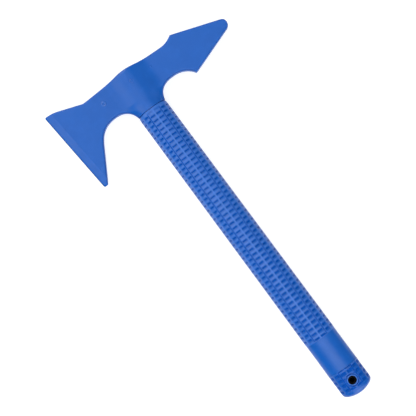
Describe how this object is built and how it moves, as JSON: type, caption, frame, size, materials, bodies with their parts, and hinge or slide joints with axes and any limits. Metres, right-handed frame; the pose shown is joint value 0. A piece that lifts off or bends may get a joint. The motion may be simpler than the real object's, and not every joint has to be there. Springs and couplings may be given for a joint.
{
  "type": "training tomahawk",
  "caption": "Blunt plastic practice tomahawk: bearded blade, pointed rear spike, textured oval grip with a smooth band and a lanyard hole in the butt.",
  "frame": {"origin": "centre of the bottom of the bounding box, with the tomahawk lying on its side", "axes": "+X across the head towards the spike, +Y along the handle towards the head, +Z out of the side that faces up"},
  "size_m": [0.231, 0.4588, 0.0286],
  "materials": {
    "blue_plastic": "satin moulded polypropylene",
    "blue_grip": "textured moulded polypropylene",
    "black_core": "plain glass-filled nylon",
    "black_bush": "matt"
  },
  "bodies": {
    "root": {"head": "blue_plastic", "head_pin": "blue_plastic", "handle_core": "black_core", "grip_sleeve": "blue_grip", "grip_band": "blue_plastic", "butt_cap": "blue_grip", "lanyard_bush": "black_bush"}
  },
  "joints": []
}
